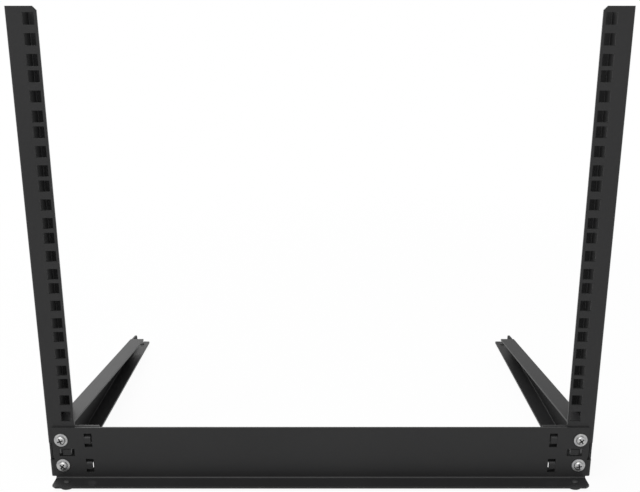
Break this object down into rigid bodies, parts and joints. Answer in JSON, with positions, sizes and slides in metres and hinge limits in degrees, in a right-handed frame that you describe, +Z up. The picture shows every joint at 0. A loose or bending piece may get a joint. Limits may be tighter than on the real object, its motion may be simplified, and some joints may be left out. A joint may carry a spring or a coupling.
{
  "type": "two post open frame rack",
  "caption": "Open frame rack for a desk or floor: two flanged posts with square holes, a front crossbar and two tapering feet running back.",
  "frame": {"origin": "centre of the footprint on the floor", "axes": "+X across the rack to the right seen from the front, +Y from the posts towards the rear, +Z up"},
  "size_m": [0.5024, 0.424, 0.4185],
  "materials": {
    "black_coat": "fine textured black powder coat",
    "zinc": "bright zinc plate",
    "pad_rubber": "matt black"
  },
  "bodies": {
    "root": {"left_post": "black_coat", "right_post": "black_coat", "crossbar": "black_coat", "left_foot": "black_coat", "right_foot": "black_coat", "left_upper_screw": "zinc", "left_upper_washer": "zinc", "left_upper_nut": "zinc", "left_lower_screw": "zinc", "left_lower_washer": "zinc", "left_lower_nut": "zinc", "right_upper_screw": "zinc", "right_upper_washer": "zinc", "right_upper_nut": "zinc", "right_lower_screw": "zinc", "right_lower_washer": "zinc", "right_lower_nut": "zinc", "front_left_pad": "pad_rubber", "front_right_pad": "pad_rubber", "rear_left_pad": "pad_rubber", "rear_right_pad": "pad_rubber"}
  },
  "joints": []
}
